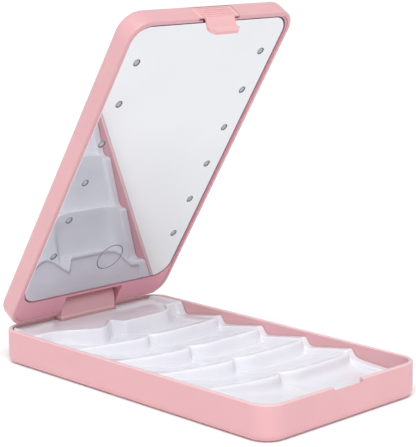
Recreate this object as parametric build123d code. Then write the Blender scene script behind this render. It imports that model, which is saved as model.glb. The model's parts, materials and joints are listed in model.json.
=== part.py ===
from build123d import *
import os

# Eyelash storage case with a lighted mirror in its lid. Millimetres.
# +X is the user's right and runs along the hinge, +Y points to the hinge, +Z is up.
# The origin is the centre of the base's underside. The lid is drawn closed, then opened.

# Case outline and shells
length = 171.0
width = 96.8
corner_radius = 10.3
wall = 2.0
base_height = 15.8
floor = 1.8
bottom_round = 3.4
rim_round = 0.8
rim_inner_round = 0.5
lid_gap = 0.3
lid_thickness = 9.8
lid_skin = 1.5
lid_round = 3.0
lid_heel_round = 2.0

# Hinge
hinge_from_back = 2.5
hinge_above_rim = 5.4
open_angle = 57.7
knuckle_radius = 4.2
knuckle_width = 33.4
knuckle_gap = 0.7
knuckle_round = 0.8
pin_radius = 1.2
bush_radius = 1.8
bush_length = 10.0
bush_clearance = 0.05
cheek_width = 4.0
cheek_front = 4.5
cheek_drop = 3.0

# Formed tray
tray_gap = 0.25
sheet = 0.6
bay_pitch = 27.5
first_low_y = 58.6
row_count = 5
plateau_z = 15.4
crest_z = 13.5
flange_low_z = 9.9
flange_drop = 4.0
pocket_low_z = 7.0
front_bay_z = 8.6
tray_inner_half = 41.8
cusp_back = 7.0
lobe_front = 0.5
lobe_end_back = 9.0
lobe_skew = 5.0
plateau_forward = 5.0
recess_z = 14.4
recess_margin = 2.4

# Mirror, frame and lights
mirror_half_width = 45.3
mirror_hinge_edge = 13.5
mirror_tip_inset = 3.0
mirror_radius = 8.5
mirror_thickness = 1.6
frame_drop = 0.3
mirror_drop = 0.7
tape_thickness = 0.2
plate_thickness = 1.5
frame_fit = 0.15
mirror_fit = 0.4
heel_notch_depth = 11.9
light_x = 37.05
first_light_y = -64.0
light_pitch = 21.63
lights_per_side = 6
light_size = 3.0
light_height = 1.2
touch_y = 51.9
touch_radius = 6.0

# Pieces inside the lid
boss_radius = 2.6
thread_radius = 0.9
head_radius = 1.8
head_height = 1.0
light_hole_radius = 2.4
board_thickness = 0.8
board_x = (8, 45.6)
board_y = (54, 71.5)
socket_y = 62.75
socket_width = 8.9
socket_height = 3.2
socket_back_x = 39.4
socket_wall = 0.3
chips = [((14, 20), (59, 65), 1.0), ((25, 29), (58, 62), 1.2), ((30, 33.5), (66, 69), 1.6)]
cell_x = (-18, 18)
cell_y = (-50, 5)
cell_thickness = 3.5
cell_tape_inset = 4.5
lead = 0.4
lead_pitch = 1.6
first_lead_y = 60.5
screw_x = (-28, 28)
screw_y = (-72, -14, 48)
spring_seat_half = 10.5
spring_seat_thickness = 1.5

# Latch
button_half = 11.8
button_gap = 0.2
button_top = 7.3
button_recess = 0.2
rib_count = 5
rib_pitch = 1.4
rib_height = 0.7
rib_start = 0.4
rib_depth = 0.35
tab_half = 8.5
tab_bend = 2.9
tab_reach = 6.9
tab_shift = 2.4
tab_chamfer = 2.0
catch_depth = 0.8
latch_travel = 0.9
button_skin = 0.6
button_flange = 1.2
spring_radius = 1.4
spring_wire = 0.2
spring_turns = 4

# Worked out from the values above
half_length = length / 2
half_width = width / 2
hinge_y = half_length - hinge_from_back
hinge_z = base_height + hinge_above_rim
lid_low = base_height + lid_gap
lid_top = lid_low + lid_thickness
ceiling = lid_top - lid_skin
cavity_half_width = half_width - wall
cavity_half_length = half_length - wall
cavity_radius = corner_radius - wall
knuckle_half = knuckle_width / 2
notch_half = knuckle_half + knuckle_gap
frame_low = lid_low + frame_drop
mirror_low = lid_low + mirror_drop
mirror_high = mirror_low + mirror_thickness
seat_z = mirror_high + tape_thickness
plate_high = seat_z + plate_thickness
socket_z = plate_high + board_thickness / 2 + 1.3
spring_z = plate_high + 1.7
light_ys = [first_light_y + i * light_pitch for i in range(lights_per_side)]
hinge_axis = Axis((0, hinge_y, hinge_z), (1, 0, 0))


def block(x_range, y_range, z_range):
    """Box between two limits along each axis."""
    size = [high - low for low, high in (x_range, y_range, z_range)]
    centre = [(low + high) / 2 for low, high in (x_range, y_range, z_range)]
    return Pos(*centre) * Box(*size)


def mirrored(half):
    """Limits of a span that is centred on zero."""
    return (-half, half)


def rounded_block(half_x, y_range, z_range, radius):
    """Upright block with rounded corners in plan."""
    y_low, y_high = y_range
    z_low, z_high = z_range
    plan = RectangleRounded(2 * half_x, y_high - y_low, radius)
    return Pos(0, (y_low + y_high) / 2, z_low) * extrude(plan, z_high - z_low)


def rod(radius, start, end):
    """Cylinder between two points."""
    line = Line(start, end)
    return extrude(Plane(start, z_dir=line % 0) * Circle(radius), line.length)


def prism_x(points, x_range):
    """Extrudes a closed outline of (y, z) points along X."""
    x_low, x_high = x_range
    outline = make_face(Polyline(*[(0, y, z) for y, z in points], close=True))
    return Pos(x_low, 0, 0) * extrude(outline, x_high - x_low, dir=(1, 0, 0))


def opened(shape):
    """Turns a piece of the closed lid to the open rest position."""
    return shape.rotate(hinge_axis, -open_angle)


def save(shape, node):
    """Writes one sub-part, named for its node."""
    shape.label = node
    export_step(shape, f"parts/{node}.step")


# ---------------------------------------------------------------- base
def make_base_shell():
    """Shallow box with the hinge knuckle and the catch slot for the latch."""
    shell = rounded_block(half_width, mirrored(half_length), (0, base_height), corner_radius)
    shell = fillet(shell.edges().group_by(Axis.Z)[0], bottom_round)
    shell = fillet(shell.edges().group_by(Axis.Z)[-1], rim_round)
    cavity = (floor, base_height + 1)
    shell -= rounded_block(cavity_half_width, mirrored(cavity_half_length), cavity, cavity_radius)
    rim = shell.faces().filter_by(Axis.Z).sort_by(Axis.Z)[-1]
    shell = fillet(rim.inner_wires()[0].edges(), rim_inner_round)

    # Hinge knuckle, rising from the floor to the pin
    span = mirrored(knuckle_half)
    stem = block(span, (hinge_y - knuckle_radius, half_length), (floor, hinge_z))
    head = rod(knuckle_radius, (-knuckle_half, hinge_y, hinge_z), (knuckle_half, hinge_y, hinge_z))
    head &= block(span, (0, half_length), (0, lid_top))
    knuckle = stem + head
    ends = knuckle.faces().filter_by(Axis.X).edges().filter_by(lambda e: e.center().Z > base_height)
    knuckle = fillet(ends, knuckle_round)
    shell += knuckle
    shell -= rod(pin_radius + 0.2, (-knuckle_half, hinge_y, hinge_z), (knuckle_half, hinge_y, hinge_z))
    for side in (-1, 1):
        mouth = (side * (knuckle_half + 1), hinge_y, hinge_z)
        shell -= rod(bush_radius, (side * (knuckle_half - bush_length), hinge_y, hinge_z), mouth)

    # Rim notch that the latch's tab passes over, and the slot that its catch enters
    notch = [
        (-half_length - 1, base_height - 1.3),
        (-half_length, base_height - 1.3),
        (-cavity_half_length + 0.1, base_height - 2.6),
        (-cavity_half_length + 0.1, base_height + 1),
        (-half_length - 1, base_height + 1),
    ]
    shell -= prism_x(notch, mirrored(tab_half + 0.5))
    slot_low = lid_low - tab_reach + 0.2
    slot = (slot_low, slot_low + 2.8)
    shell -= block(mirrored(tab_half + 0.6), (-half_length + 0.8, -cavity_half_length + 0.1), slot)
    return shell


def make_hinge_bush(side):
    """Friction bush that grips the hinge pin in one end of the knuckle."""
    inner = (side * (knuckle_half - bush_length), hinge_y, hinge_z)
    outer = (side * knuckle_half, hinge_y, hinge_z)
    return rod(bush_radius, inner, outer) - rod(pin_radius + bush_clearance, inner, outer)


def lobed_front(low_y, half_x, shift):
    """Plan of one row: two forward lobes that meet in a cusp, with a straight back."""
    left_end = (-half_x, low_y + lobe_end_back + shift)
    right_end = (half_x, low_y + lobe_end_back + shift)
    cusp = (0, low_y + cusp_back + shift)
    middle = half_x / 2
    left_tip = (-middle + lobe_skew, low_y - lobe_front + shift)
    right_tip = (middle + lobe_skew, low_y - lobe_front + shift)
    back_y = low_y + bay_pitch + lobe_end_back + 1
    outline = [
        ThreePointArc(left_end, left_tip, cusp),
        ThreePointArc(cusp, right_tip, right_end),
        Polyline(right_end, (half_x, back_y), (-half_x, back_y), left_end),
    ]
    return make_face(outline)


def tray_form(inset):
    """Solid under the tray's upper face, with each face moved inwards by the inset."""
    tray_half_width = cavity_half_width - tray_gap
    tray_half_length = cavity_half_length - tray_gap
    bottom = floor - inset
    lows = [first_low_y - i * bay_pitch for i in range(row_count)]
    outline = rounded_block(
        tray_half_width - inset,
        mirrored(tray_half_length - inset),
        (bottom, plateau_z - inset),
        cavity_radius - tray_gap - inset,
    )

    # Side flanges with a saw-tooth edge
    edge = [(half_length, bottom), (half_length, plateau_z - inset)]
    for i, low_y in enumerate(lows):
        top = plateau_z if i == 0 else crest_z
        edge.append((low_y + flange_drop + inset, top - inset))
        edge.append((low_y + inset, flange_low_z - inset))
    edge += [(-half_length, front_bay_z - inset), (-half_length, bottom)]
    form = prism_x(edge, mirrored(half_width))
    form -= block(mirrored(tray_inner_half + inset), mirrored(length), (0, lid_top))
    if inset:
        filled = mirrored(tray_inner_half + 2 * inset)
        form += block(filled, mirrored(length), (bottom, pocket_low_z - 2 * inset))

    # Inner rows: each ramp climbs towards the front and ends in two lobes
    inner = tray_inner_half - inset
    for i, low_y in enumerate(lows):
        top = (plateau_z if i == 0 else crest_z) - inset
        front_y = low_y if i > 0 else low_y - plateau_forward
        row = Pos(0, 0, bottom) * extrude(lobed_front(front_y, inner, inset), top - bottom)
        if i > 0:
            ramp_back = low_y + 2 * bay_pitch
            ramp = [
                (ramp_back, bottom),
                (ramp_back, pocket_low_z - inset),
                (low_y + bay_pitch, pocket_low_z - inset),
                (low_y, top),
                (low_y - bay_pitch, top),
                (low_y - bay_pitch, bottom),
            ]
            row &= prism_x(ramp, mirrored(half_width))
        form += row
    front_bay = (bottom, front_bay_z - inset)
    form += block(mirrored(inner + 2 * inset), (-half_length, lows[-1] + lobe_end_back + 1), front_bay)

    # Shallow recess behind the first row, and room for the knuckle and the latch's tab
    recess_front = first_low_y - plateau_forward
    recess = lobed_front(recess_front, inner - recess_margin + 2 * inset, recess_margin)
    recess &= Pos(0, recess_front, 0) * Rectangle(width, 2 * (hinge_y - knuckle_radius - recess_front))
    form -= Pos(0, 0, recess_z - inset) * extrude(recess, lid_top)
    knuckle_room = knuckle_half + knuckle_gap + inset
    form -= block(mirrored(knuckle_room), (hinge_y - knuckle_radius - 0.6 - inset, length), (0, lid_top))
    tab_room = (-length, -cavity_half_length + 5.0 + inset)
    form -= block(mirrored(tab_half + 2.5 + inset), tab_room, (0, lid_top))
    return form & outline


def make_lash_tray():
    """Thin formed sheet, open underneath."""
    return tray_form(0) - tray_form(sheet)


# ---------------------------------------------------------------- lid, drawn closed
def screw_places():
    """Plan positions of the screws that hold the inner frame."""
    return [(x, y) for x in screw_x for y in screw_y]


def make_lid_outer_shell():
    """Cover with the cheeks that carry the hinge pin, screw bosses, and openings."""
    shell = rounded_block(half_width, mirrored(half_length), (lid_low, lid_top), corner_radius)
    shell = fillet(shell.edges().group_by(Axis.Z)[-1], lid_round)
    low_edges = shell.edges().group_by(Axis.Z)[0]
    shell = fillet(low_edges, rim_round)
    cavity = (lid_low - 1, ceiling)
    shell -= rounded_block(cavity_half_width, mirrored(cavity_half_length), cavity, cavity_radius)

    # The hinge-end edge is rounded off, so that it clears the base's rim as the lid turns
    heel_y = half_length - lid_heel_round
    heel_z = lid_low + lid_heel_round
    span = mirrored(half_width)
    heel = block(span, (heel_y, half_length + 1), (lid_low - 1, heel_z))
    heel -= rod(lid_heel_round, (-half_width, heel_y, heel_z), (half_width, heel_y, heel_z))
    shell -= heel

    # Opening for the knuckle through the cover, and the cheeks on each side of it
    notch_front = hinge_y - knuckle_radius - knuckle_gap
    shell -= block(mirrored(notch_half), (notch_front, half_length + 1), (lid_low - 1, lid_top + 1))
    for side in (-1, 1):
        x_range = sorted((side * notch_half, side * (notch_half + cheek_width)))
        cheek = block(x_range, (hinge_y - cheek_front, cavity_half_length), (hinge_z - cheek_drop, ceiling))
        shell += cheek
    pin_end = notch_half + cheek_width
    shell -= rod(pin_radius, (-pin_end, hinge_y, hinge_z), (pin_end, hinge_y, hinge_z))

    for x, y in screw_places():
        shell += rod(boss_radius, (x, y, plate_high), (x, y, ceiling))
        shell -= rod(thread_radius, (x, y, plate_high), (x, y, ceiling - 0.4))

    # Window for the latch button, and the mouth of the charging socket
    window = (lid_low - 1, lid_low + button_top + button_gap)
    window_half = button_half + button_gap
    shell -= block(mirrored(window_half), (-half_length - 1, -cavity_half_length + 0.1), window)
    shell -= socket_mouth(0.3, (cavity_half_width - 0.5, half_width + 0.5))
    return shell


def socket_mouth(margin, x_range):
    """Flat oval bar along X at the charging socket."""
    x_low, x_high = x_range
    face = Plane((x_low, socket_y, socket_z), x_dir=(0, 1, 0), z_dir=(1, 0, 0))
    end_round = socket_height / 2 - 0.05 + margin
    oval = RectangleRounded(socket_width + 2 * margin, socket_height + 2 * margin, end_round)
    return extrude(face * oval, x_high - x_low)


def make_lid_inner_frame():
    """Bezel and mirror seat, with a pocket that shields the knuckle's opening."""
    half_x = cavity_half_width - frame_fit
    half_y = cavity_half_length - frame_fit
    radius = cavity_radius - frame_fit
    frame = rounded_block(half_x, mirrored(half_y), (frame_low, plate_high), radius)
    pocket = (-half_length + mirror_tip_inset - mirror_fit, half_length - mirror_hinge_edge + mirror_fit)
    frame -= rounded_block(
        mirror_half_width + mirror_fit, pocket, (frame_low - 1, seat_z), mirror_radius + mirror_fit
    )

    # Opening round the knuckle, with walls up to the cover's skin
    notch_y = half_length - heel_notch_depth
    skin = 1.2
    wall_back = hinge_y - cheek_front - 0.4
    frame += block(mirrored(notch_half + skin), (notch_y - skin, wall_back), (plate_high, ceiling - 0.1))
    frame -= block(mirrored(notch_half), (notch_y, half_length), (frame_low - 1, lid_top))

    # Holes for lights, touch pad and screws
    for side in (-1, 1):
        for y in light_ys:
            x = side * light_x
            frame -= rod(light_hole_radius, (x, y, seat_z - 1), (x, y, plate_high + 1))
    frame -= rod(touch_radius + 0.4, (0, touch_y, seat_z - 1), (0, touch_y, plate_high + 1))
    for x, y in screw_places():
        frame -= rod(thread_radius + 0.2, (x, y, seat_z), (x, y, plate_high + 1))
        frame -= rod(head_radius + 0.2, (x, y, seat_z - 1), (x, y, seat_z + head_height))

    # Room for the latch, a lip that covers it beside the tab, and the seat of its springs
    room_y = -cavity_half_length + 3.2
    frame -= block(mirrored(button_half + 2.2), (-half_length, room_y), (frame_low - 1, plate_high + 1))
    lip_y = button_skin_back() + latch_travel + 0.1
    for side in (-1, 1):
        inner_x = sorted((side * (tab_half + 0.4), side * button_half))
        outer_x = sorted((side * button_half, side * (button_half + 2.4)))
        frame += block(inner_x, (lip_y, pocket[0]), (frame_low, mirror_high))
        frame += block(outer_x, (-half_y, pocket[0]), (frame_low, mirror_high))
    seat_y = (spring_seat_y(), spring_seat_y() + spring_seat_thickness)
    frame += block(mirrored(spring_seat_half), seat_y, (plate_high - plate_thickness, ceiling - 0.8))

    # Relief for the cheeks, which reach down past the plate's back
    for side in (-1, 1):
        x_range = sorted((side * (notch_half - 0.2), side * (notch_half + cheek_width + 0.3)))
        relief_y = (hinge_y - cheek_front - 0.3, half_length)
        frame -= block(x_range, relief_y, (hinge_z - cheek_drop - 0.3, lid_top))
    return frame


def make_mirror_glass():
    """Mirror plate with polished edges."""
    y_range = (-half_length + mirror_tip_inset, half_length - mirror_hinge_edge)
    glass = rounded_block(mirror_half_width, y_range, (mirror_low, mirror_high), mirror_radius)
    return chamfer(glass.edges().group_by(Axis.Z)[0], 0.3)


def make_mirror_tape():
    """Three strips of tape between the mirror and its seat."""
    strips = [(-66, -54), (-20, -8), (22, 34)]
    return Compound([block((-24, 24), y_range, (mirror_high, seat_z)) for y_range in strips])


def make_light(side, y):
    """One light: a square package with a shallow round lens on its front."""
    x = side * light_x
    half = light_size / 2
    package = block((x - half, x + half), (y - half, y + half), (plate_high - light_height, plate_high))
    low = plate_high - light_height
    lens = rod(1.2, (x, y, low - 0.3), (x, y, low))
    lens = chamfer(lens.edges().group_by(Axis.Z)[0], 0.2)
    return package + lens


def make_light_board(side):
    """Narrow circuit board behind one column of lights."""
    x_range = (side * light_x - 3.2, side * light_x + 3.2)
    y_range = (light_ys[0] - 6, light_ys[-1] + 6)
    return block(x_range, y_range, (plate_high, plate_high + board_thickness))


def make_control_board():
    """Circuit board with its controller and driver chips."""
    top = plate_high + board_thickness
    board = block(board_x, board_y, (plate_high, top))
    cut = (socket_y - socket_width / 2 - 0.2, socket_y + socket_width / 2 + 0.2)
    board -= block((socket_back_x - 0.3, half_width), cut, (plate_high - 1, top + 1))
    for x_range, y_range, height in chips:
        board += block(x_range, y_range, (top, top + height))
    return board


def make_charging_socket():
    """Metal shell with a contact tongue, mouth in the lid's right side."""
    mouth_x = half_width - 0.4
    inside_x = socket_back_x + 0.6
    socket = socket_mouth(0, (socket_back_x, mouth_x)) - socket_mouth(-socket_wall, (inside_x, mouth_x))
    tongue_y = (socket_y - 3.3, socket_y + 3.3)
    tongue_z = (socket_z - 0.35, socket_z + 0.35)
    return socket + block((inside_x, mouth_x - 1.2), tongue_y, tongue_z)


def battery_z():
    """Height range of the cell, on its tape."""
    return (plate_high + tape_thickness, plate_high + tape_thickness + cell_thickness)


def make_battery_cell():
    """Soft-pack rechargeable cell with rounded long edges."""
    cell = block(cell_x, cell_y, battery_z())
    return fillet(cell.edges().filter_by(Axis.Y), 1.2)


def make_battery_tape():
    """Tape that holds the cell to the frame."""
    x_range = (cell_x[0] + cell_tape_inset, cell_x[1] - cell_tape_inset)
    y_range = (cell_y[0] + cell_tape_inset, cell_y[1] - cell_tape_inset)
    return block(x_range, y_range, (plate_high, plate_high + tape_thickness))


def make_touch_pad():
    """Round sensor stuck to the mirror's back."""
    return rod(touch_radius, (0, touch_y, mirror_high), (0, touch_y, mirror_high + 0.8))


def make_light_leads():
    """Two leads to each light board."""
    z = plate_high + lead
    board_end = light_ys[-1] + 6
    leads = []
    for i in range(2):
        y = first_lead_y + lead_pitch * i
        x = -light_x - lead_pitch / 2 + lead_pitch * (1 - i)
        path = FilletPolyline((board_x[0], y, z), (x, y, z), (x, board_end, z), radius=4)
        start = Plane((board_x[0], y, z), z_dir=(-1, 0, 0))
        leads.append(sweep(start * Circle(lead), path))
        right_x = light_x - lead_pitch / 2 + lead_pitch * i
        leads.append(rod(lead, (right_x, board_end, z), (right_x, board_y[0], z)))
    return Compound(leads)


def make_battery_leads():
    """Two leads from the cell to the control board."""
    z = plate_high + tape_thickness + 1.6
    board_edge = board_y[0]
    leads = []
    for x in (11, 13):
        low = plate_high + lead
        path = FilletPolyline((x, 5, z), (x, 30, z), (x, 45, low), (x, board_edge, low), radius=4)
        start = Plane((x, 5, z), z_dir=(0, 1, 0))
        leads.append(sweep(start * Circle(lead), path))
    return Compound(leads)


def make_frame_screws():
    """Six identical screws that hold the inner frame to the cover."""
    screws = []
    for x, y in screw_places():
        head = rod(head_radius, (x, y, seat_z + 0.1), (x, y, seat_z + head_height))
        recess = block((x - 1, x + 1), (y - 0.25, y + 0.25), (seat_z, seat_z + 0.5))
        recess += block((x - 0.25, x + 0.25), (y - 1, y + 1), (seat_z, seat_z + 0.5))
        shank = rod(thread_radius, (x, y, seat_z + head_height), (x, y, ceiling - 1.0))
        screws.append(head - recess + shank)
    return Compound(screws)


def make_hinge_pin():
    """Steel pin, held in the lid's cheeks and turning in the bushes."""
    end = notch_half + cheek_width
    pin = rod(pin_radius, (-end, hinge_y, hinge_z), (end, hinge_y, hinge_z))
    return chamfer(pin.edges().group_by(Axis.X)[0] + pin.edges().group_by(Axis.X)[-1], 0.3)


# ---------------------------------------------------------------- latch, drawn closed
def button_skin_back():
    """Back of the button's thin lower part."""
    return -half_length + button_recess + button_skin


def button_back_y():
    """Back face of the button's flange."""
    return -cavity_half_length + 0.3 + button_flange


def spring_seat_y():
    """Face of the frame that the latch springs push against."""
    return button_back_y() + 4.0


def make_latch_button():
    """Ribbed thumb pad with a retaining flange, and the tab with its catch."""
    face = -half_length + button_recess
    low = frame_low
    high = lid_low + button_top
    thin = 1.1
    shoulder = seat_z + 0.3
    button = block(mirrored(button_half), (face, face + button_skin), (low, high))
    button += block(mirrored(tab_half), (face, face + thin), (low, high))
    button += block(mirrored(button_half), (face, button_back_y()), (shoulder, high))
    flange = (button_back_y() - button_flange, button_back_y())
    button += block(mirrored(button_half + 1.6), flange, (shoulder, high + 0.6))
    for i in range(rib_count):
        z = low + rib_start + i * rib_pitch
        rib = block(mirrored(button_half - 2.2), (face - rib_depth, face), (z, z + rib_height))
        rib = fillet(rib.edges().filter_by(Axis.X).group_by(Axis.Y)[0], 0.3)
        button += rib

    # Tab: steps inwards, then runs straight down; the catch points outwards near its end
    inner = face + tab_shift
    bend_z = lid_low - tab_bend
    end_z = lid_low - tab_reach
    catch = inner - catch_depth
    profile = [
        (face, low),
        (face, lid_low + 0.1),
        (inner, bend_z),
        (inner, end_z + 2.3),
        (catch, end_z + 1.7),
        (catch, end_z + 0.9),
        (inner, end_z + 0.2),
        (inner, end_z),
        (inner + 1.6, end_z),
        (inner + 1.6, bend_z - 0.2),
        (face + thin, lid_low),
        (face + thin, low),
    ]
    tab = prism_x(profile, mirrored(tab_half))
    corners = block(mirrored(tab_half), (-half_length - 1, 0), (end_z, low))
    corners = chamfer(corners.edges().filter_by(Axis.Y).group_by(Axis.Z)[0], tab_chamfer)
    return button + (tab & corners)


def make_latch_springs():
    """Two small coil springs behind the button."""
    height = spring_seat_y() - button_back_y() - 2 * spring_wire
    coil = Helix(pitch=height / spring_turns, height=height, radius=spring_radius)
    section = Plane(coil @ 0, z_dir=coil % 0) * Circle(spring_wire)
    wire = sweep(section, coil, is_frenet=True)
    springs = []
    for x in (-7, 7):
        place = Plane((x, button_back_y() + spring_wire, spring_z), z_dir=(0, 1, 0))
        springs.append(place * wire)
    return Compound(springs)


# ---------------------------------------------------------------- all sub-parts
os.makedirs("parts", exist_ok=True)

save(make_base_shell(), "base_shell")
save(make_lash_tray(), "lash_tray")
save(make_hinge_bush(-1), "hinge_bush_left")
save(make_hinge_bush(1), "hinge_bush_right")

lid_pieces = {
    "lid_outer_shell": make_lid_outer_shell(),
    "lid_inner_frame": make_lid_inner_frame(),
    "mirror_glass": make_mirror_glass(),
    "mirror_tape": make_mirror_tape(),
    "light_board_left": make_light_board(-1),
    "light_board_right": make_light_board(1),
    "control_board": make_control_board(),
    "charging_socket": make_charging_socket(),
    "battery_cell": make_battery_cell(),
    "battery_tape": make_battery_tape(),
    "touch_pad": make_touch_pad(),
    "light_leads": make_light_leads(),
    "battery_leads": make_battery_leads(),
    "frame_screws": make_frame_screws(),
    "hinge_pin": make_hinge_pin(),
    "latch_button": make_latch_button(),
    "latch_springs": make_latch_springs(),
}
for side, side_name in ((-1, "left"), (1, "right")):
    for number, light_y in enumerate(light_ys, start=1):
        lid_pieces[f"light_{side_name}_{number}"] = make_light(side, light_y)

for node, piece in lid_pieces.items():
    save(opened(piece), node)
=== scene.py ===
import json
import math
import bpy
import bmesh
from mathutils import Matrix, Vector


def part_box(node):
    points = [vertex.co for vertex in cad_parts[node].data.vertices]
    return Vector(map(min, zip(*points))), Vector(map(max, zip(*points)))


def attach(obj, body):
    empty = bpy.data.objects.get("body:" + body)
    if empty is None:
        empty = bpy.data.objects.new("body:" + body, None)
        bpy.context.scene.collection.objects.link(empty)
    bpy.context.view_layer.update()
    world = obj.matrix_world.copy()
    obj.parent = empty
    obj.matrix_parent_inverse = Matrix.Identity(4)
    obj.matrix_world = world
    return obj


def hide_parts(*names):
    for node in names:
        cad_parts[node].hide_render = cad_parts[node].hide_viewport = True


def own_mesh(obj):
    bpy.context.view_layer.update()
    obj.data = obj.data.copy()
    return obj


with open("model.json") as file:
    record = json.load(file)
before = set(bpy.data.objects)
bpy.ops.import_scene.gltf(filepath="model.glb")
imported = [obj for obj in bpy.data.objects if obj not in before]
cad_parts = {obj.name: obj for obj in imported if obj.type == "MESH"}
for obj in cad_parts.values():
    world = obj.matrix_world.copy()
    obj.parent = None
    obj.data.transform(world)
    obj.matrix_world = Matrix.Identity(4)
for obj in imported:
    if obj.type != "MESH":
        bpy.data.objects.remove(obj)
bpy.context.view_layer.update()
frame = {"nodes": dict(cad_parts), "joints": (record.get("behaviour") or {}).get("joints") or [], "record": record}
nodes = frame["nodes"]
MM = 0.001

# The lid is drawn closed and turned to where it rests open
hinge = next(j for j in frame["joints"] if j["name"] == "lid_hinge")
hinge_at = Vector(hinge["pos_m"])
open_turn = math.radians(hinge["range_deg"][0])
to_rest = Matrix.Translation(hinge_at) @ Matrix.Rotation(open_turn, 4, "X") @ Matrix.Translation(-hinge_at)
to_closed = to_rest.inverted()


def closed_box(node):
    """Lowest and highest corners of a lid node with the lid shut."""
    points = [to_closed @ v.co for v in nodes[node].data.vertices]
    low = Vector([min(p[k] for p in points) for k in range(3)])
    high = Vector([max(p[k] for p in points) for k in range(3)])
    return low, high


def smooth_step(t):
    """Eases from 0 to 1."""
    t = min(max(t, 0.0), 1.0)
    return t * t * (3 - 2 * t)


# ---------------------------------------------------------------- materials
def new_material(name):
    """Empty Principled material; returns it with its node tree and shader."""
    material = bpy.data.materials.new(name)
    material.use_nodes = True
    tree = material.node_tree
    return material, tree, tree.nodes["Principled BSDF"]


def object_noise(tree, scale, detail=2.0, roughness=0.5, stretch=(1, 1, 1)):
    """Noise in object coordinates; scale is in cycles per metre."""
    coords = tree.nodes.new("ShaderNodeTexCoord")
    mapping = tree.nodes.new("ShaderNodeMapping")
    mapping.inputs["Scale"].default_value = stretch
    noise = tree.nodes.new("ShaderNodeTexNoise")
    noise.inputs["Scale"].default_value = scale
    noise.inputs["Detail"].default_value = detail
    noise.inputs["Roughness"].default_value = roughness
    tree.links.new(coords.outputs["Object"], mapping.inputs["Vector"])
    tree.links.new(mapping.outputs["Vector"], noise.inputs["Vector"])
    return noise.outputs["Fac"]


def ramp_between(tree, factor, low_value, high_value, low_at=0.3, high_at=0.7):
    """Maps a factor to a colour or grey between two stops."""
    ramp = tree.nodes.new("ShaderNodeValToRGB")
    ramp.color_ramp.elements[0].position = low_at
    ramp.color_ramp.elements[1].position = high_at
    for element, value in zip(ramp.color_ramp.elements, (low_value, high_value)):
        if isinstance(value, (int, float)):
            value = (value, value, value)
        element.color = (*value, 1.0)
    tree.links.new(factor, ramp.inputs["Fac"])
    return ramp.outputs["Color"]


def feed(tree, shader, socket, factor, low_value, high_value, low_at=0.3, high_at=0.7):
    """Drives one of a shader's sockets with a ramp between two values."""
    tree.links.new(ramp_between(tree, factor, low_value, high_value, low_at, high_at), shader.inputs[socket])


def add_bump(tree, shader, height, distance, strength=1.0, under=None):
    """Bump from a height; distance in metres. Returns the bump's normal output."""
    bump = tree.nodes.new("ShaderNodeBump")
    bump.inputs["Strength"].default_value = strength
    bump.inputs["Distance"].default_value = distance
    tree.links.new(height, bump.inputs["Height"])
    if under is not None:
        tree.links.new(under, bump.inputs["Normal"])
    tree.links.new(bump.outputs["Normal"], shader.inputs["Normal"])
    return bump.outputs["Normal"]


def near_height(tree, height, reach):
    """1 at one height and 0 a reach above or below it, in metres in object coordinates."""
    coords = tree.nodes.new("ShaderNodeTexCoord")
    split = tree.nodes.new("ShaderNodeSeparateXYZ")
    tree.links.new(coords.outputs["Object"], split.inputs["Vector"])
    off = tree.nodes.new("ShaderNodeMath")
    off.operation = "SUBTRACT"
    tree.links.new(split.outputs["Z"], off.inputs[0])
    off.inputs[1].default_value = height
    away = tree.nodes.new("ShaderNodeMath")
    away.operation = "ABSOLUTE"
    tree.links.new(off.outputs["Value"], away.inputs[0])
    fade = tree.nodes.new("ShaderNodeMapRange")
    fade.inputs["From Min"].default_value = reach / 3
    fade.inputs["From Max"].default_value = reach
    fade.inputs["To Min"].default_value = 1.0
    fade.inputs["To Max"].default_value = 0.0
    tree.links.new(away.outputs["Value"], fade.inputs["Value"])
    return fade.outputs["Result"]


def plastic(name, colour, roughness, rim_highlight=None):
    """Moulded plastic: faint mottling, uneven gloss, a fine grain and, when a height is given, a painted
    highlight: a paler line at that height.
    """
    material, tree, shader = new_material(name)
    darker = tuple(c * (1 - MOTTLE_SPREAD) for c in colour)
    paler = tuple(c * (1 + MOTTLE_SPREAD) for c in colour)
    mottle = object_noise(tree, 45.0, 3.0)
    body = ramp_between(tree, mottle, darker, paler)
    # Painted highlight: the pink turns paler in a band about the given height, the top edge of the base
    if rim_highlight:
        mix = tree.nodes.new("ShaderNodeMixRGB")
        tree.links.new(near_height(tree, *rim_highlight), mix.inputs["Fac"])
        tree.links.new(body, mix.inputs["Color1"])
        highlight_ends = [tuple(c + (1 - c) * RIM_HIGHLIGHT_PALENESS for c in end) for end in (darker, paler)]
        tree.links.new(ramp_between(tree, mottle, *highlight_ends), mix.inputs["Color2"])
        body = mix.outputs["Color"]
    tree.links.new(body, shader.inputs["Base Color"])
    gloss = object_noise(tree, 320.0, 4.0, 0.6)
    feed(tree, shader, "Roughness", gloss, roughness - GLOSS_SPREAD, roughness + GLOSS_SPREAD)
    fine = object_noise(tree, 2600.0, 2.0, 0.6)
    add_bump(tree, shader, fine, GRAIN_DEPTH)
    shader.inputs["Subsurface Weight"].default_value = 0.08
    shader.inputs["Subsurface Radius"].default_value = (1.0, 0.5, 0.5)
    shader.inputs["Subsurface Scale"].default_value = 0.0015
    return material


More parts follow.
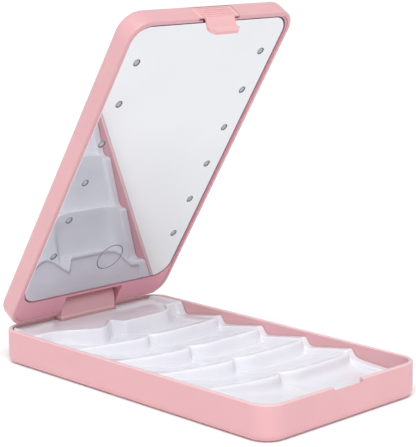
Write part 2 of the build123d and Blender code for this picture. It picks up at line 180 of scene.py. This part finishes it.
def formed_sheet():
    """Glossy milky sheet with soft forming waves."""
    material, tree, shader = new_material("tray_sheet_look")
    cloud = object_noise(tree, 60.0, 3.0)
    feed(tree, shader, "Base Color", cloud, (0.70, 0.695, 0.755), (0.74, 0.735, 0.79))
    smear = object_noise(tree, 180.0, 3.0, 0.6)
    feed(tree, shader, "Roughness", smear, 0.06, 0.14)
    waves = object_noise(tree, 110.0, 2.0, 0.5, (1.0, 2.2, 1.0))
    first = add_bump(tree, shader, waves, 0.00032, 0.6)
    fine = object_noise(tree, 900.0, 2.0)
    add_bump(tree, shader, fine, 0.00001, 0.6, first)
    shader.inputs["Subsurface Weight"].default_value = 0.35
    shader.inputs["Subsurface Radius"].default_value = (1.0, 0.95, 1.0)
    shader.inputs["Subsurface Scale"].default_value = 0.002
    shader.inputs["IOR"].default_value = 1.54
    return material


def silvered():
    """Mirror with a barely uneven polish."""
    material, tree, shader = new_material("mirror_look")
    tint = object_noise(tree, 30.0, 2.0)
    feed(tree, shader, "Base Color", tint, (0.725, 0.735, 0.765), (0.745, 0.755, 0.785))
    wipe = object_noise(tree, 90.0, 3.0, 0.6, (1.0, 4.0, 4.0))
    feed(tree, shader, "Roughness", wipe, 0.0, 0.025, 0.45, 0.8)
    shader.inputs["Metallic"].default_value = 1.0
    return material


def frosted(name, colour, roughness):
    """Small frosted window or etched mark."""
    material, tree, shader = new_material(name)
    frost = object_noise(tree, 3500.0, 3.0, 0.7)
    darker = tuple(c * 0.94 for c in colour)
    feed(tree, shader, "Base Color", frost, darker, colour)
    feed(tree, shader, "Roughness", frost, roughness - 0.05, roughness + 0.05)
    add_bump(tree, shader, frost, 0.000006)
    return material


def plated_steel():
    """Turned and plated steel with fine drawing lines."""
    material, tree, shader = new_material("steel_look")
    lines = object_noise(tree, 900.0, 3.0, 0.6, (0.15, 4.0, 4.0))
    feed(tree, shader, "Base Color", lines, (0.50, 0.50, 0.51), (0.66, 0.66, 0.67))
    feed(tree, shader, "Roughness", lines, 0.22, 0.36)
    add_bump(tree, shader, lines, 0.000004)
    shader.inputs["Metallic"].default_value = 1.0
    return material


def two_tone(name, low_colour, high_colour, roughness, metallic=0.0, scale=400.0, depth=0.00001):
    """Plain metal or plastic in two close tones, for the pieces inside the lid."""
    material, tree, shader = new_material(name)
    noise = object_noise(tree, scale, 4.0, 0.6)
    feed(tree, shader, "Base Color", noise, low_colour, high_colour)
    feed(tree, shader, "Roughness", noise, roughness, roughness + 0.12)
    add_bump(tree, shader, noise, depth)
    shader.inputs["Metallic"].default_value = metallic
    return material


PINK = (0.635, 0.352, 0.376)
MOTTLE_SPREAD = 0.015
GLOSS_SPREAD = 0.012
GRAIN_DEPTH = 0.001 * MM
# Painted highlight along the base's top edge: its height, its reach and how much it pales the pink
RIM_TOP = 15.8 * MM
RIM_HIGHLIGHT_REACH = 0.6 * MM
RIM_HIGHLIGHT_PALENESS = 0.2
looks = {
    "pink_shell": plastic("pink_shell_look", PINK, 0.26),
    # The frame's pink is more saturated than the shell's: painted shade on the bezel that faces down under the lid
    "pink_frame": plastic("pink_frame_shade_look", (0.68, 0.305, 0.375), 0.32),
    "pink_latch": plastic("pink_latch_look", (0.70, 0.40, 0.41), 0.34),
    "tray_sheet": formed_sheet(),
    "mirror": silvered(),
    "light_package": two_tone("light_package_look", (0.80, 0.79, 0.70), (0.90, 0.89, 0.82), 0.3),
    "circuit_board": two_tone("circuit_board_look", (0.72, 0.76, 0.73), (0.84, 0.86, 0.84), 0.4),
    "cell_pouch": two_tone(
        "cell_pouch_look",
        (0.62, 0.63, 0.64),
        (0.75, 0.76, 0.77),
        0.28,
        metallic=1.0,
        scale=220.0,
        depth=0.00004,
    ),
    "copper_pad": two_tone("copper_pad_look", (0.72, 0.42, 0.26), (0.85, 0.55, 0.36), 0.3, metallic=1.0),
    "lead_sleeve": two_tone("lead_sleeve_look", (0.50, 0.05, 0.04), (0.62, 0.08, 0.06), 0.5),
    "tape": two_tone("tape_look", (0.80, 0.80, 0.77), (0.90, 0.90, 0.87), 0.7, scale=1500.0, depth=0.00005),
    "bush_plastic": two_tone("bush_plastic_look", (0.82, 0.81, 0.76), (0.88, 0.87, 0.83), 0.4),
    "steel": plated_steel(),
}
base_rim_highlight_look = plastic("pink_base_rim_highlight_look", PINK, 0.26, rim_highlight=(RIM_TOP, RIM_HIGHLIGHT_REACH))
# Dark ring round each light window: painted shade of the groove round the lens
window_ring_shade = frosted("window_ring_shade_look", (0.15, 0.16, 0.17), 0.45)
window_lens = frosted("window_lens_look", (0.40, 0.42, 0.44), 0.40)
etched = frosted("etched_ring_look", (0.12, 0.12, 0.13), 0.5)
# Dark glass edge: partly the ground edge's own dark colour, partly painted shade of the gap round the mirror
mirror_edge_and_gap_shade = frosted("mirror_edge_and_gap_shade_look", (0.035, 0.035, 0.04), 0.6)

slot_of = {p["node"]: p["material_slot"] for p in frame["record"]["subparts"]}
for name, obj in nodes.items():
    obj.data.materials.clear()
    obj.data.materials.append(base_rim_highlight_look if name == "base_shell" else looks[slot_of[name]])


# ---------------------------------------------------------------- mesh helpers
def make_object(name, bm, *materials):
    """Turns a bmesh into a linked object with its materials."""
    mesh = bpy.data.meshes.new(name)
    bm.to_mesh(mesh)
    bm.free()
    obj = bpy.data.objects.new(name, mesh)
    bpy.context.scene.collection.objects.link(obj)
    for material in materials:
        mesh.materials.append(material)
    return obj


def bake_modifiers(obj):
    """Replaces an object's mesh with its evaluated mesh."""
    bpy.context.view_layer.update()
    graph = bpy.context.evaluated_depsgraph_get()
    mesh = bpy.data.meshes.new_from_object(obj.evaluated_get(graph))
    obj.modifiers.clear()
    obj.data = mesh


def drop(obj):
    """Deletes a helper object."""
    bpy.data.objects.remove(obj)


def rounded_outline(half_x, y_low, y_high, radius, steps=14):
    """Plan outline of a rounded rectangle, in metres."""
    points = []
    corners = [
        (half_x - radius, y_high - radius, 0),
        (-half_x + radius, y_high - radius, 90),
        (-half_x + radius, y_low + radius, 180),
        (half_x - radius, y_low + radius, 270),
    ]
    for cx, cy, start in corners:
        for i in range(steps + 1):
            a = math.radians(start + 90 * i / steps)
            points.append((cx + radius * math.cos(a), cy + radius * math.sin(a)))
    return points


def circle(centre, radius, segments):
    """Plan outline of a circle."""
    turn = [2 * math.pi * i / segments for i in range(segments)]
    return [(centre.x + radius * math.cos(a), centre.y + radius * math.sin(a)) for a in turn]


def join_loops(bm, first, second):
    """Faces between two closed loops of as many points."""
    for i in range(len(first)):
        j = (i + 1) % len(first)
        bm.faces.new((first[i], first[j], second[j], second[i]))


def capped_stack(loops):
    """Closed surface through a stack of loops of (x, y, z) points, flat at both ends."""
    bm = bmesh.new()
    stack = [[bm.verts.new(point) for point in loop] for loop in loops]
    bm.faces.new(list(reversed(stack[0])))
    bm.faces.new(stack[-1])
    for lower, upper in zip(stack, stack[1:]):
        join_loops(bm, lower, upper)
    return bm


def prism(name, outline, z_low, z_high):
    """Upright solid from a plan outline."""
    return make_object(name, capped_stack([[(x, y, z) for x, y in outline] for z in (z_low, z_high)]))


def boolean(obj, other, operation):
    """Adds a boolean modifier that uses another object."""
    modifier = obj.modifiers.new("cut", "BOOLEAN")
    modifier.operation = operation
    modifier.object = other
    modifier.solver = "EXACT"


def smooth_by_angle(obj, degrees):
    """Smooth shading with sharp edges over an angle."""
    for polygon in obj.data.polygons:
        polygon.use_smooth = True
    obj.data.set_sharp_from_angle(angle=math.radians(degrees))


def lathe(profile, centre, segments=48):
    """Closed surface of revolution about Z from (radius, z) points whose ends are on the axis."""
    bm = bmesh.new()
    tips = [bm.verts.new((centre.x, centre.y, z)) for _, z in (profile[0], profile[-1])]
    rings = [
        [bm.verts.new((x, y, z)) for x, y in circle(centre, radius, segments)] for radius, z in profile[1:-1]
    ]
    for first, second in zip(rings, rings[1:]):
        join_loops(bm, first, second)
    for tip, ring in zip(tips, (rings[0], rings[-1])):
        for i in range(segments):
            bm.faces.new((tip, ring[i], ring[(i + 1) % segments]))
    bmesh.ops.recalc_face_normals(bm, faces=bm.faces)
    return bm


# ---------------------------------------------------------------- formed tray
# Millimetres, listed from the rear (+Y) to the front (-Y); a value times MM is in metres
PLATEAU_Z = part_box("lash_tray")[1].z / MM
TRAY_SHEET = 0.6 * MM
TRAY_HALF_X = 46.12
TRAY_HALF_Y = 83.22
TRAY_CORNER = 8.75
SKIRT = 0.08
SIDE_X = 46.15
ROOM_HALF_X = 17.6
ROOM_FRONT_Y = 77.9
ROOM_BACK_Y = 95
CUTTER_TOP = 30 * MM
FLANGE_X = 41.8
WALL_SPREAD = 0.9
ROWS = 5
BAY_PITCH = 27.5
FIRST_LOW = 58.6
PLATEAU_FRONT = FIRST_LOW - 6.7
RECESS_DEPTH = 1.1
SHELF_Y = 77
RIDGE_WIDTH = 0.9
CREST_Z = 13.4
LAST_CREST_DROP = 0.7
FLANGE_CREST_Z = 13.5
FLANGE_LOW_Z = 9.5
FLANGE_FRONT_Z = 8.6
FLANGE_DROP = 4.0
FLANGE_TOE = 1.2
POCKET_Z = 6.5
APRON_Y = -66
FRONT_FOOT_Y = -79.5
FRONT_TOP_Y = -80.7
CUSP_X = -1
CUSP_BACK = 4.0
LEFT_LOBE_X = -8
RIGHT_LOBE_X = 9
# Points up a row's slope: share of its run, and share of its rise
ROW_SLOPE = ((0.25, 0.16), (0.6, 0.52), (0.88, 0.88))
row_lows = [FIRST_LOW - i * BAY_PITCH for i in range(ROWS)]


def lobe_back(x):
    """How far a row's front edge stands back from its foremost line: two lobes with a cusp between."""
    if x < LEFT_LOBE_X:
        return 10.3 * ((LEFT_LOBE_X - x) / 31) ** 1.5
    if x < CUSP_X:
        return CUSP_BACK * (max(x + 7, 0) / 6) ** 2.2
    if x < RIGHT_LOBE_X:
        return CUSP_BACK * ((RIGHT_LOBE_X - x) / (RIGHT_LOBE_X - CUSP_X)) ** 2
    return 1.4 * (max(x - 30, 0) / 11) ** 2


def plateau_back(x):
    """The same for the rear plateau, whose outer corners are fuller."""
    if x < -13:
        return 11.0 * smooth_step((-13 - x) / 24)
    if x < -2.6:
        return 8.0 * ((x + 13) / 10.4) ** 1.2
    if x < 20:
        return 1.8 + 6.2 * (1 - smooth_step((x + 2.6) / 4.5))
    corner = min(max(x - 25, 0) / 10, 1.0)
    return 1.8 + 9.2 * (1 - math.sqrt(1 - corner ** 2))


def inner_stations(x):
    """Corner points (y, z) of the tray's section at an x inside the flanges."""
    set_back = plateau_back(x)
    front = PLATEAU_FRONT + set_back
    ridge = front + RIDGE_WIDTH
    recess_z = PLATEAU_Z - RECESS_DEPTH
    stations = [(TRAY_HALF_Y + SKIRT, recess_z), (max(ridge + 4, SHELF_Y), recess_z), (ridge + 1.6, recess_z)]
    stations += [(ridge + 0.5, PLATEAU_Z), (ridge - 0.4, PLATEAU_Z), (front, PLATEAU_Z - 0.1)]
    stations.append((front - 1.1, POCKET_Z + 0.3 * set_back))
    back = lobe_back(x)
    for low_y in row_lows[1:]:
        crest = low_y + 0.3 + back
        crest_z = CREST_Z - 0.12 * back - (LAST_CREST_DROP if low_y == row_lows[-1] else 0.0)
        previous_y, previous_z = stations[-1]
        run = previous_y - crest
        for part, rise in ROW_SLOPE:
            stations.append((previous_y - run * part, previous_z + (crest_z - previous_z) * rise))
        stations.append((crest, crest_z))
        stations.append((crest - 1.0, POCKET_Z + 0.42 * back))
    stations += [(APRON_Y, POCKET_Z + 0.2), (FRONT_FOOT_Y, POCKET_Z + 0.4)]
    stations += [(FRONT_TOP_Y, FLANGE_FRONT_Z), (-TRAY_HALF_Y - SKIRT, FLANGE_FRONT_Z)]
    return stations


def flange_stations():
    """The same points along the side flange."""
    plateau = (TRAY_HALF_Y + SKIRT, SHELF_Y, 72, 68.5, 65.5, FIRST_LOW + FLANGE_DROP)
    stations = [(y, PLATEAU_Z) for y in plateau]
    stations.append((FIRST_LOW + FLANGE_TOE, FLANGE_LOW_Z))
    for low_y in row_lows[1:]:
        previous_y, previous_z = stations[-1]
        crest = low_y + FLANGE_DROP
        run = previous_y - crest
        for part, _ in ROW_SLOPE:
            stations.append((previous_y - run * part, previous_z + (FLANGE_CREST_Z - previous_z) * part))
        stations.append((crest, FLANGE_CREST_Z))
        stations.append((low_y + FLANGE_TOE, FLANGE_LOW_Z))
    stations.append((APRON_Y, FLANGE_LOW_Z - 0.9))
    stations += [(y, FLANGE_FRONT_Z) for y in (FRONT_FOOT_Y, FRONT_TOP_Y, -TRAY_HALF_Y - SKIRT)]
    return stations


def tray_columns():
    """X places of the tray's sections, closer together where the form turns quickly."""
    xs = []
    x = -SIDE_X
    while x < SIDE_X:
        xs.append(x)
        near_wall = abs(abs(x) - FLANGE_X) < 1.6
        near_cusp = -9.5 < x < 2.5
        x += 0.18 if near_wall else 0.3 if near_cusp else 0.75
    xs.append(SIDE_X)
    return xs


def densify(stations, steps):
    """Points along a polyline, the same number in every run."""
    points = []
    for (y0, z0), (y1, z1) in zip(stations, stations[1:]):
        points += [(y0 + (y1 - y0) * k / steps, z0 + (z1 - z0) * k / steps) for k in range(steps)]
    points.append(stations[-1])
    return points


def relax(grid, rounds, along):
    """Averages each inner point with its neighbours along one direction of the grid."""
    rows, columns = len(grid), len(grid[0])
    for _ in range(rounds):
        source = [row[:] for row in grid]
        for r in range(rows):
            for c in range(columns):
                at_end = not 0 < c < columns - 1 if along == "section" else not 0 < r < rows - 1
                if at_end:
                    continue
                if along == "section":
                    a, b = source[r][c - 1], source[r][c + 1]
                else:
                    a, b = source[r - 1][c], source[r + 1][c]
                y, z = source[r][c]
                grid[r][c] = ((a[0] + 2 * y + b[0]) / 4, (a[1] + 2 * z + b[1]) / 4)


def make_tray():
    """Thin formed sheet with five lobed rows, side flanges and a rear recess."""
    xs = tray_columns()
    flange = densify(flange_stations(), 5)
    grid = []
    for x in xs:
        inner = densify(inner_stations(min(max(x, -FLANGE_X), FLANGE_X)), 5)
        share = smooth_step((abs(x) - FLANGE_X + WALL_SPREAD / 2) / WALL_SPREAD)
        grid.append(
            [(a[0] + (b[0] - a[0]) * share, a[1] + (b[1] - a[1]) * share) for a, b in zip(inner, flange)]
        )
    relax(grid, 2, "section")
    relax(grid, 6, "across")

    bm = bmesh.new()
    verts = [[bm.verts.new((x * MM, y * MM, z * MM)) for y, z in line] for x, line in zip(xs, grid)]
    for r in range(len(verts) - 1):
        for c in range(len(verts[0]) - 1):
            bm.faces.new((verts[r][c], verts[r][c + 1], verts[r + 1][c + 1], verts[r + 1][c]))
    bmesh.ops.recalc_face_normals(bm, faces=bm.faces)
    if sum(f.normal.z for f in bm.faces) < 0:
        bmesh.ops.reverse_faces(bm, faces=bm.faces)
    tray = make_object("lash_tray_sheet", bm, looks["tray_sheet"])
    thickness = tray.modifiers.new("thickness", "SOLIDIFY")
    thickness.thickness = TRAY_SHEET
    thickness.offset = -1
    bake_modifiers(tray)

    # Trim to the rounded outline and cut the room for the knuckle
    outline = rounded_outline(TRAY_HALF_X * MM, -TRAY_HALF_Y * MM, TRAY_HALF_Y * MM, TRAY_CORNER * MM)
    keep = prism("keep", outline, 0, CUTTER_TOP)
    room = rounded_outline(ROOM_HALF_X * MM, ROOM_FRONT_Y * MM, ROOM_BACK_Y * MM, 1.0 * MM)
    knuckle_room = prism("knuckle_room", room, 0, CUTTER_TOP)
    boolean(tray, keep, "INTERSECT")
    boolean(tray, knuckle_room, "DIFFERENCE")
    bake_modifiers(tray)
    drop(keep)
    drop(knuckle_room)
    smooth_by_angle(tray, 50)
    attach(tray, "base")
    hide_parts("lash_tray")


# ---------------------------------------------------------------- mirror, light windows, touch ring
glass_low, glass_high = closed_box("mirror_glass")
MIRROR_RADIUS = 8.5 * MM
WINDOW_RADIUS = 1.85 * MM
light_boxes = {name: closed_box(name) for name in nodes if name.startswith(("light_left_", "light_right_"))}


def make_mirror():
    """Plate with a chamfered front edge and a hole for each light window."""
    chamfer = 0.36 * MM
    steps = [(chamfer, glass_low.z), (0, glass_low.z + chamfer), (0, glass_high.z)]
    loops = []
    for inset, z in steps:
        outline = rounded_outline(
            glass_high.x - inset, glass_low.y + inset, glass_high.y - inset, MIRROR_RADIUS - inset, 20
        )
        loops.append([(x, y, z) for x, y in outline])
    mirror = make_object("mirror_plate", capped_stack(loops), looks["mirror"], mirror_edge_and_gap_shade)
    cutters = []
    for name, (low, high) in light_boxes.items():
        hole = circle((low + high) / 2, WINDOW_RADIUS, 40)
        cutter = prism("cut_" + name, hole, glass_low.z - MM, glass_high.z + MM)
        cutters.append(cutter)
        boolean(mirror, cutter, "DIFFERENCE")
    bake_modifiers(mirror)
    for cutter in cutters:
        drop(cutter)
    # Silver on the face and, as a painted highlight, on the left chamfer; every other edge dark ground glass,
    # partly its own dark edge and partly painted shade of the gap round the mirror
    for polygon in mirror.data.polygons:
        left_chamfer_highlight = polygon.normal.z < -0.5 and polygon.normal.x < -0.3
        polygon.material_index = 0 if polygon.normal.z < -0.9 or left_chamfer_highlight else 1
    smooth_by_angle(mirror, 20)
    mirror.data.transform(to_rest)
    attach(mirror, "lid")
    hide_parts("mirror_glass")


def make_light_windows():
    """Frosted window in each hole: a paler shallow lens in a dark ring, the ring's darkness painted shade of the
    groove it lies in.
    """
    lens_radius = 1.30 * MM
    radius = WINDOW_RADIUS - 0.03 * MM
    face = glass_low.z
    for name, (low, high) in light_boxes.items():
        centre = (low + high) / 2
        profile = [
            (0, face + 0.05 * MM),
            (0.80 * MM, face + 0.09 * MM),
            (lens_radius, face + 0.20 * MM),
            (1.42 * MM, face + 0.28 * MM),
            (1.68 * MM, face + 0.16 * MM),
            (radius, face + 0.12 * MM),
            (radius, glass_high.z),
            (0, glass_high.z),
        ]
        window_name = name.replace("light_", "light_window_")
        window = make_object(window_name, lathe(profile, centre), window_ring_shade, window_lens)
        for polygon in window.data.polygons:
            flat = polygon.center - Vector((centre.x, centre.y, polygon.center.z))
            if flat.length < lens_radius and polygon.center.z < face + 0.3 * MM:
                polygon.material_index = 1
        smooth_by_angle(window, 40)
        window.data.transform(to_rest)
        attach(window, "lid")


def make_touch_ring():
    """Thin etched ring on the mirror, over the touch pad."""
    low, high = closed_box("touch_pad")
    centre = (low + high) / 2
    radius = 7.2 * MM
    half = 0.27 * MM
    buried = glass_low.z + 0.01 * MM
    proud = glass_low.z - 0.03 * MM
    section = [
        (radius - half, buried),
        (radius - half * 0.8, proud),
        (radius + half * 0.8, proud),
        (radius + half, buried),
    ]
    bm = bmesh.new()
    circles = [[bm.verts.new((x, y, z)) for x, y in circle(centre, r, 96)] for r, z in section]
    for first, second in zip(circles, circles[1:] + circles[:1]):
        join_loops(bm, first, second)
    bmesh.ops.recalc_face_normals(bm, faces=bm.faces)
    ring = make_object("touch_ring", bm, etched)
    smooth_by_angle(ring, 40)
    ring.data.transform(to_rest)
    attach(ring, "lid")


def make_springs():
    """The latch's two coil springs, drawn at one length; the real ones shorten as the button is pressed."""
    low, high = closed_box("latch_springs")
    wire = 0.2 * MM
    mean = (high.z - low.z) / 2 - wire
    middle_z = (low.z + high.z) / 2
    turns, steps, around = 4, 36, 10
    length = high.y - low.y - 2 * wire
    lengthwise = Vector((0, 1, 0))
    bm = bmesh.new()
    for centre_x in (low.x + mean + wire, high.x - mean - wire):
        start = Vector((centre_x, low.y + wire, middle_z))
        rings = []
        for i in range(turns * steps + 1):
            a = 2 * math.pi * i / steps
            outward = Vector((math.cos(a), 0, math.sin(a)))
            at = start + mean * outward + lengthwise * (length * i / (turns * steps))
            ring = []
            for k in range(around):
                b = 2 * math.pi * k / around
                spoke = math.cos(b) * outward + math.sin(b) * lengthwise
                ring.append(bm.verts.new(at + wire * spoke))
            rings.append(ring)
        for first, second in zip(rings, rings[1:]):
            join_loops(bm, first, second)
        bm.faces.new(list(reversed(rings[0])))
        bm.faces.new(rings[-1])
    bmesh.ops.recalc_face_normals(bm, faces=bm.faces)
    springs = make_object("latch_spring_coils", bm, looks["steel"])
    smooth_by_angle(springs, 60)
    springs.data.transform(to_rest)
    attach(springs, "lid")
    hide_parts("latch_springs")
    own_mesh(springs)


make_tray()
make_mirror()
make_light_windows()
make_touch_ring()
make_springs()


# ---------------------------------------------------------------- floor, light, camera
def make_floor():
    """Plain pale floor."""
    half = 6.0
    bm = bmesh.new()
    corners = [(-half, -half), (half, -half), (half, half), (-half, half)]
    bm.faces.new([bm.verts.new((x, y, -0.00005)) for x, y in corners])
    material, tree, shader = new_material("floor_look")
    shader.inputs["Base Color"].default_value = (0.95, 0.95, 0.95, 1.0)
    shader.inputs["Roughness"].default_value = 0.9
    shader.inputs["Specular IOR Level"].default_value = 0.1
    floor = make_object("floor", bm, material)


def add_to_scene(name, data):
    """Links a light or camera."""
    obj = bpy.data.objects.new(name, data)
    bpy.context.scene.collection.objects.link(obj)
    return obj


def area_light(name, place, target, size, power):
    """Square soft light aimed at a point."""
    data = bpy.data.lights.new(name, "AREA")
    data.shape = "SQUARE"
    data.size = size
    data.energy = power
    light = add_to_scene(name, data)
    light.location = place
    light.rotation_euler = (Vector(target) - Vector(place)).to_track_quat("-Z", "Y").to_euler()


def make_sky():
    """White room, dimmer overhead than at the horizon."""
    world = bpy.data.worlds.new("studio")
    world.use_nodes = True
    sky = world.node_tree
    background = sky.nodes["Background"]
    direction = sky.nodes.new("ShaderNodeTexCoord")
    height = sky.nodes.new("ShaderNodeSeparateXYZ")
    sky.links.new(direction.outputs["Generated"], height.inputs["Vector"])
    sky.links.new(ramp_between(sky, height.outputs["Z"], 1.0, 0.5, 0.0, 1.0), background.inputs["Color"])
    background.inputs["Strength"].default_value = 0.86
    bpy.context.scene.world = world


def make_sun():
    """Very soft overhead light."""
    data = bpy.data.lights.new("overhead", "SUN")
    data.energy = 2.2
    data.angle = math.radians(50)
    sun = add_to_scene("overhead", data)
    sun.rotation_euler = Vector((0.60, 0.50, -1.0)).to_track_quat("-Z", "Y").to_euler()


def make_camera():
    """Camera at a low three-quarter view from the front left."""
    data = bpy.data.cameras.new("camera")
    data.lens = 128.7
    data.sensor_width = 36.0
    data.sensor_fit = "AUTO"
    data.clip_start = 0.01
    camera = add_to_scene("camera", data)
    camera.location = (-0.4789, -0.4936, 0.2087)
    yaw = math.radians(44.325)
    pitch = math.radians(11.405)
    roll = math.radians(-0.196)
    forward = Vector((math.cos(pitch) * math.sin(yaw), math.cos(pitch) * math.cos(yaw), -math.sin(pitch)))
    aim = forward.to_track_quat("-Z", "Y")
    camera.rotation_euler = (aim.to_matrix() @ Matrix.Rotation(roll, 3, "Z")).to_euler()
    bpy.context.scene.camera = camera


make_floor()
make_sky()
make_sun()
area_light("top_light", (-0.15, -0.30, 0.62), (0, -0.02, 0.14), 0.25, 0.5)
area_light("front_fill", (-0.50, -0.85, 0.24), (0, 0.03, 0.05), 0.5, 0.4)
make_camera()
bpy.context.scene.view_settings.view_transform = "Standard"
